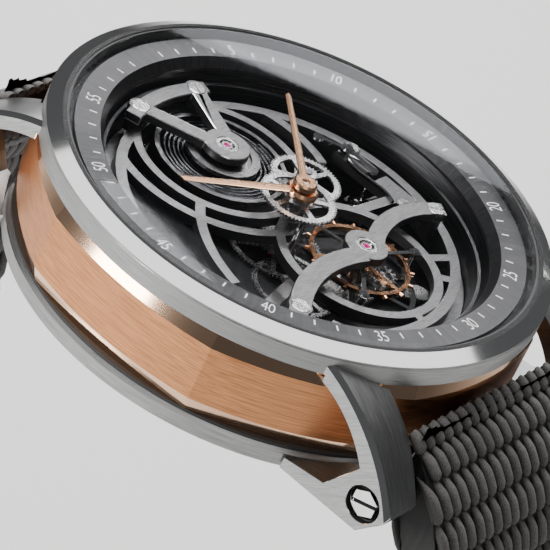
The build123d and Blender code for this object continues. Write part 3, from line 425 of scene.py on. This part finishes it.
def paint_all():
    silver = polished_metal("silver_polish", (0.80, 0.80, 0.79))
    bright = polished_metal("bright_bevel", (0.95, 0.95, 0.94), (0.12, 0.2))
    wheel = ((0.42, 0.42, 0.42), (0.62, 0.62, 0.615), (0.24, 0.32), (0.5, 8, 4), 0.4)
    plate = (GREY_DARK, GREY_LIGHT, (1.2, 14, 14), (0.3, 0.4), 0.0012)
    paint("mid_case", turned_metal(
        "pink_case", PINK_DARK, PINK_LIGHT, (0.3, 0.44), (0.22, 6, 16), 0.55,
        ("Z", 0.2, 0.3), depth_mm=0.012, polish=0.12, mirror=(0.98, 0.64, 0.43)))
    paint("bezel", turned_metal(
        "bezel_metal", WHITE_DARK, WHITE_LIGHT, (0.26, 0.4), (0.3, 8, 14), 0.6,
        ("Z", 0.3, 0.5), depth_mm=0.008, polish=0.08, mirror=(0.95, 0.95, 0.94)))
    paint("lug_1 lug_5 lug_7 lug_11", lug_metal())
    paint("lug_screws", polished_metal("screw_head", (0.78, 0.78, 0.77), (0.08, 0.16)))
    paint("strap_bars crown_tube stem buckle_bar", silver)
    paint("back_screws bridge_screws chatons",
          polished_metal("screw_satin", (0.80, 0.80, 0.79), (0.22, 0.28)))
    paint("crystal", clear_pane("sapphire", (0.99, 0.99, 0.995), 0.012, 0.5))
    paint("back_crystal", clear_pane("smoked_sapphire", (0.02, 0.02, 0.022)))
    paint("crystal_gasket back_gasket crown_gasket", rubber())
    paint("minute_ring", dial_ring())
    paint("inner_wall", turned_metal(
        "inner_wall_metal", (0.012, 0.012, 0.012), (0.05, 0.05, 0.052), (0.3, 0.4), (0.3, 6, 10), 0.3))
    paint("casing_ring", satin_metal("dark_steel", (0.01, 0.01, 0.01), (0.03, 0.03, 0.03)))
    paint("case_back", turned_metal(
        "back_metal", WHITE_DARK, WHITE_LIGHT, (0.26, 0.38), (0.3, 10, 6), 0.6))
    paint("mainplate", straight_metal("plate_metal", *plate), bright)
    paint("lower_plate", turned_metal(
        "plate_dark", (0.01, 0.01, 0.01), (0.035, 0.035, 0.036), (0.35, 0.5), (0.3, 3, 3), 0.3,
        centre=(0.0015, -0.0061)))
    paint("barrel_bridge tourbillon_bridge train_bridge", straight_metal("bridge_metal", *plate), bright)
    paint("fixed_wheel hour_wheel cannon_pinion centre_wheel",
          turned_metal("wheel_metal", *wheel, depth_mm=0.0006))
    for name in ("minute_wheel", "third_wheel", "escape_wheel", "ratchet_wheel", "transmission_wheel",
                 "crown_wheel"):
        paint(name, turned_metal(name + "_metal", *wheel, centre=middle_of(name), depth_mm=0.0006))
    paint("jewels", ruby())
    paint("keyless_spring click setting_lever winding_pinion pallet_fork cage_base cage_bridge", silver)
    pink = polished_metal("hand_gold", (0.93, 0.50, 0.28), (0.12, 0.2))
    paint("minute_hand hour_hand", straight_metal(
        "hand_brushed", (0.88, 0.50, 0.29), (0.95, 0.56, 0.34), (5, 5, 5), (0.2, 0.27), 0.0002), pink)
    paint("balance_wheel", pink)
    paint("barrel_drum barrel_arbor", turned_metal(
        "barrel_metal", GREY_DARK, GREY_LIGHT, (0.25, 0.36), (0.4, 8, 4), 0.5,
        centre=middle_of("barrel_drum")))
    paint("mainspring hairspring", polished_metal("spring_steel", (0.33, 0.33, 0.35), (0.16, 0.26)))
    paint("crown", straight_metal("crown_gold", PINK_DARK, PINK_LIGHT, (1, 9, 9), (0.12, 0.22), 0.004))
    paint("buckle_frame buckle_tongue", straight_metal(
        "buckle_gold", PINK_DARK, PINK_LIGHT, (0.5, 8, 8), (0.16, 0.3), 0.004))
    bevel("barrel_bridge tourbillon_bridge train_bridge", 0.16)
    bevel("mainplate", 0.10)
    bevel("minute_hand hour_hand", 0.06)
    bevel("buckle_frame buckle_tongue", 0.25, 3, False)
    bevel("lug_1 lug_5 lug_7 lug_11", 0.08, 1, False)
    bevel("lug_screws bridge_screws", 0.04, 1, False)


# ----------------------------------------------------------------- printed minute track

def ring_surface(x, y):
    """Height just above the minute ring's top under a point."""
    hit = RING_TREE.ray_cast(Vector((x, y, RAY_START)), Vector((0, 0, -1)))[0]
    return (hit.z if hit else 0.0105) + 0.00002


def minute_track():
    """Flat white ticks on the minute ring, one for each minute that is not a multiple of five."""
    verts, faces = [], []
    inner, outer, half = 0.01655, 0.01715, 0.000065
    for minute in range(60):
        if minute % 5 == 0:
            continue
        angle = math.radians(90 - 6 * minute)
        along = Vector((math.cos(angle), math.sin(angle)))
        side = Vector((-along.y, along.x))
        start = len(verts)
        for radius, s in ((inner, -1), (inner, 1), (outer, 1), (outer, -1)):
            p = along * radius + side * half * s
            verts.append((p.x, p.y, ring_surface(p.x, p.y)))
        faces.append((start + 3, start + 2, start + 1, start))
    ticks = new_object("minute_ticks", verts, faces, False)
    ticks.data.materials.append(PRINT)
    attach(ticks, "case")


def numeral(minute):
    """Tall narrow figure; it stands outwards on the upper half of the dial and inwards on the lower half."""
    curve = bpy.data.curves.new(f"numeral_{minute}", "FONT")
    curve.body = str(minute)
    curve.size = 0.00165
    curve.align_x, curve.align_y = "CENTER", "CENTER"
    curve.space_character = 0.95
    curve.offset = -0.00001
    text = bpy.data.objects.new(curve.name, curve)
    bpy.context.scene.collection.objects.link(text)
    bpy.context.view_layer.update()
    mesh = bpy.data.meshes.new_from_object(text.evaluated_get(bpy.context.evaluated_depsgraph_get()))
    bpy.data.objects.remove(text)
    flip = 180 if 12 < minute < 48 else 0
    place = Matrix.Rotation(math.radians(-6 * minute), 4, "Z") @ Matrix.Translation((0, 0.01706, 0))
    place = place @ Matrix.Rotation(math.radians(flip), 4, "Z") @ Matrix.Diagonal((0.70, 1.0, 1, 1))
    mesh.transform(place)
    for v in mesh.vertices:
        v.co.z = ring_surface(v.co.x, v.co.y)
    mesh.name = f"numeral_{minute}"
    mesh.materials.clear()
    mesh.materials.append(PRINT)
    obj = bpy.data.objects.new(mesh.name, mesh)
    bpy.context.scene.collection.objects.link(obj)
    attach(obj, "case")


def screw_recesses():
    """Painted shadow: a near-black ring on the floor round each hexagonal lug screw and a near-black sheet in
    its slot, where shade falls.
    """
    painted_shadow = satin_metal("painted_recess_shadow", (0.004, 0.004, 0.004), (0.014, 0.014, 0.014), (0.4, 0.6))
    floor_x, slot_x, bar_y, bar_z = (v * MM for v in (13.87, 14.112, 21.75, 2.35))
    slot = [Vector((a * 1.05, b * 0.155)) * MM for a, b in ((-1, -1), (1, -1), (1, 1), (-1, 1))]
    for name in ("lug_7", "lug_5", "lug_11", "lug_1"):
        low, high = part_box(name)
        out_x, out_y = math.copysign(1, low.x + high.x), math.copysign(1, low.y + high.y)
        turn = Matrix.Rotation(math.radians(17), 2)
        verts, faces = [], []
        for k in range(48):
            angle = 2 * math.pi * k / 48
            for radius in (1.44 * MM, 1.0 * MM):
                verts.append((out_x * floor_x, out_y * (bar_y + radius * math.cos(angle)),
                              bar_z + radius * math.sin(angle)))
            following = 2 * ((k + 1) % 48)
            faces.append((2 * k, following, following + 1, 2 * k + 1))
        for corner in slot:
            across = turn @ corner
            verts.append((out_x * slot_x, out_y * (bar_y + across.x), bar_z + across.y))
        faces.append((96, 97, 98, 99))
        made = new_object("recess_" + name, verts, faces, False)
        made.data.materials.append(painted_shadow)
        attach(made, "case")


# ----------------------------------------------------------------- woven strap

# row step along the strap, strand pitch across it, and how far a strand leans sideways
ROW, PITCH, LEAN = 3.25 * MM, 1.17 * MM, 0.95 * MM
FIRST_ROW = 0.85 * MM     # arc length of the first row on the outer face
OVERLAP = 0.95 * MM       # how much longer a strand is than its row's step
EDGE_GAP = 0.6 * MM       # the last row starts no nearer than this to the end of the face
AROUND, ALONG = 10, 12    # points round a strand and rings along it
JITTER = 0.035            # spread of each strand's place, width and shade


class Surface:
    """Outer or inner face of a strap half, read off its CAD solid: arc length and width to a point."""

    def __init__(self, name, side, inner=False):
        mesh = nodes[name].data
        self.tree = BVHTree.FromPolygons([v.co for v in mesh.vertices], [p.vertices for p in mesh.polygons])
        self.side, self.inner = side, inner
        centre = Vector((0.005, side * 0.0056, -0.012))
        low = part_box(name)[0].z
        points = []
        for degrees in np.arange(75, 0, -0.5):
            angle = math.radians(degrees)
            points.append(self.crossing(centre, Vector((0, side * math.cos(angle), math.sin(angle)))))
        for z in np.arange(-0.012, low + 0.0006, -0.0004):
            points.append(self.crossing(Vector((0.005, side * 0.003, z)), Vector((0, side, 0))))
        points = [p for p in points if p is not None]
        if not inner:
            points.insert(0, (points[0][0], points[0][1] - 0.0008))
        self.points = np.array(points)
        steps = np.linalg.norm(np.diff(self.points, axis=0), axis=1)
        self.arc = np.concatenate(([0], np.cumsum(steps)))

    def crossing(self, start, heading):
        """Where the ray meets the wanted face: the first wall for the inner face, the last for the outer."""
        found, at = None, start.copy()
        for _ in range(4):
            hit = self.tree.ray_cast(at, heading)[0]
            if hit is None:
                break
            found = (hit.y, hit.z)
            if self.inner:
                break
            at = hit + heading * 1e-5
        return found

    def at(self, s):
        """(y, z) and outward normal at an arc length."""
        y = np.interp(s, self.arc, self.points[:, 0])
        z = np.interp(s, self.arc, self.points[:, 1])
        d = 0.0008
        dy = np.interp(s + d, self.arc, self.points[:, 0]) - np.interp(s - d, self.arc, self.points[:, 0])
        dz = np.interp(s + d, self.arc, self.points[:, 1]) - np.interp(s - d, self.arc, self.points[:, 1])
        length = math.hypot(dy, dz)
        normal = np.array((-dz, dy)) / length * self.side
        return np.array((y, z)), -normal if self.inner else normal

    def solid_under(self, x, s):
        """True where the strap's solid lies straight under the face."""
        point, normal = self.at(s)
        start = Vector((x, *(point + normal * 0.0003)))
        hit = self.tree.ray_cast(start, Vector((0, *(-normal))), 0.0008)[0]
        return hit is not None


def strand(face, x0, s0, length, lean, width, height, tuck=0.75):
    """Plump strand, pointed and tucked in at its head and blunt at its foot."""
    verts = []
    for i in range(ALONG):
        t = i / (ALONG - 1)
        head = max(0.0, 1 - t / 0.5)
        foot = max(0.0, (t - 0.80) / 0.20)
        swell = (1 - 0.93 * head ** 1.4) * math.sqrt(1 - 0.96 * foot ** 2)
        point, normal = face.at(s0 + t * length)
        sunk = height * (0.5 + tuck * head ** 1.6 + 0.2 * foot)
        for k in range(AROUND):
            angle = 2 * math.pi * k / AROUND
            y, z = point + normal * (height * 0.5 * swell * math.sin(angle) - sunk)
            verts.append((x0 + lean * t + width / 2 * swell * math.cos(angle), y, z))
    return verts


def strand_tones():
    """Painted shade of each vertex of a strand: a painted highlight along the crown, and painted shade on the
    flanks and on the tucked head.
    """
    painted_shades = []
    for i in range(ALONG):
        head = max(0.0, 1 - i / (ALONG - 1) / 0.42)
        for k in range(AROUND):
            crown = max(0.0, math.sin(2 * math.pi * k / AROUND))
            painted_shades.append((0.08 + 0.92 * crown ** 0.8) * (1 - 0.5 * head))
    return painted_shades


def strand_faces(start):
    faces = []
    for i in range(ALONG - 1):
        for k in range(AROUND):
            a, b = start + i * AROUND + k, start + i * AROUND + (k + 1) % AROUND
            faces.append((a, b, b + AROUND, a + AROUND))
    faces.append(tuple(start + k for k in reversed(range(AROUND))))
    faces.append(tuple(start + (ALONG - 1) * AROUND + k for k in range(AROUND)))
    return faces


def weave(name, body, faces_of_strap):
    """Rows of leaning strands over both faces of a strap half."""
    rng = np.random.default_rng(7)
    verts, faces, painted_shades = [], [], []
    for face in faces_of_strap:
        height = 0.85 * MM if not face.inner else 0.6 * MM
        row, s = 0, FIRST_ROW + (2.4 * MM if face.inner else 0)
        while s < face.arc[-1] - EDGE_GAP:
            step = (1.8 * MM, 2.45 * MM, ROW)[min(row, 2)]
            length = step + OVERLAP
            offset = (row % 2) * 0.5 * PITCH
            for k in range(-9, 10):
                x = k * PITCH + offset - LEAN / 2
                probes = [face.solid_under(x + LEAN * g + e, s + length * g)
                          for g, e in ((0.4, -0.25 * PITCH), (0.4, 0.25 * PITCH), (0.75, 0.3 * PITCH))]
                if not all(probes) and (row > 0 or abs(x) > 9.5 * MM):
                    continue
                jitter = rng.normal(0, JITTER, 3)
                made = strand(face, x + jitter[0] * PITCH, s - 0.45 * MM, length,
                              LEAN * (0.55 if row == 0 else 1), PITCH * (0.99 + jitter[1]), height,
                              0.2 if row == 0 else 0.75)
                faces += strand_faces(len(verts))
                verts += made
                # The strand's painted shade, scaled by a random shade of its own.
                painted_shades += [t * (0.8 + 0.2 * jitter[2] / JITTER * 0.5) for t in PAINTED_STRAND_SHADES]
            s += step
            row += 1
    made = new_object(name, verts, faces)
    painted_shade_and_tone = made.data.attributes.new("painted_shade_and_tone", "FLOAT", "POINT")
    painted_shade_and_tone.data.foreach_set("value", np.array(painted_shades, np.float32))
    made.data.materials.append(YARN)
    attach(made, body)


PAINTED_STRAND_SHADES = strand_tones()


def soft_copy(name, new_name, body, voxel, shrink, material, relief):
    """Soft stand-in for a CAD textile solid: rounded edges, a little thinner, with woven relief."""
    mesh = nodes[name].data.copy()
    mesh.name = new_name
    obj = bpy.data.objects.new(new_name, mesh)
    bpy.context.scene.collection.objects.link(obj)
    remesh = obj.modifiers.new("remesh", "REMESH")
    remesh.mode, remesh.voxel_size = "VOXEL", voxel
    smooth = obj.modifiers.new("smooth", "SMOOTH")
    smooth.factor, smooth.iterations = 0.5, 4
    bpy.context.view_layer.update()
    final = bpy.data.meshes.new_from_object(obj.evaluated_get(bpy.context.evaluated_depsgraph_get()))
    obj.modifiers.clear()
    obj.data = final
    count = len(final.vertices)
    co, normal = np.zeros(count * 3, np.float32), np.zeros(count * 3, np.float32)
    final.vertices.foreach_get("co", co)
    final.vertex_normals.foreach_get("vector", normal)
    co, normal = co.reshape(-1, 3), normal.reshape(-1, 3)
    push = -shrink + relief(co, normal)
    co = co + normal * np.reshape(push, (-1, 1))
    if name.startswith("strap_"):
        co[:, 1] = np.sign(co[:, 1]) * np.maximum(np.abs(co[:, 1]), STRAP_START)
    final.vertices.foreach_set("co", co.ravel())
    final.shade_smooth()
    final.update()
    final.materials.clear()
    final.materials.append(material)
    # An even tone over the whole copy, with no painted shade.
    painted_shade_and_tone = final.attributes.new("painted_shade_and_tone", "FLOAT", "POINT")
    painted_shade_and_tone.data.foreach_set("value", np.full(count, 0.85, np.float32))
    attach(obj, body)
    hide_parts(name)


def side_ribs(co, normal):
    """Fine cords that run along the strap's edges."""
    along_edge = np.abs(normal[:, 0]) > 0.6
    depth = np.hypot(co[:, 1], co[:, 2] * 0.35)
    return np.where(along_edge, 0.00007 * np.sin(depth * 2 * math.pi / 0.0008), 0)


def band_ribs(co, normal):
    """Cords round a keeper."""
    return 0.00006 * np.sin(co[:, 2] * 2 * math.pi / 0.0009) * np.cos(co[:, 0] * 2 * math.pi / 0.0016)


def make_strap():
    """Core and strands of both strap halves, and the two keepers."""
    for name, side in (("strap_12", 1), ("strap_6", -1)):
        soft_copy(name, name + "_core", name, 0.32 * MM, 0.6 * MM, CORE, side_ribs)
        weave(name + "_weave", name, [Surface(name, side), Surface(name, side, True)])
    for name, body in (("keeper_fixed", "strap_12"), ("keeper_free", "keeper_free")):
        soft_copy(name, name + "_band", body, 0.2 * MM, 0.03 * MM, BAND, band_ribs)


add_camera()
add_stage()
paint_all()
PRINT = print_white()
YARN = textile("yarn", (0.030, 0.028, 0.026), (0.26, 0.247, 0.235))
CORE = textile("strap_core", (0.005, 0.005, 0.005), (0.022, 0.021, 0.020), (10, 10, 2))
BAND = textile("keeper_yarn", (0.010, 0.0095, 0.009), (0.045, 0.043, 0.041), (4, 20, 20))
ring_mesh = nodes["minute_ring"].data
RING_TREE = BVHTree.FromPolygons([v.co for v in ring_mesh.vertices], [p.vertices for p in ring_mesh.polygons])
minute_track()
for five in range(5, 60, 5):
    numeral(five)
make_strap()
screw_recesses()
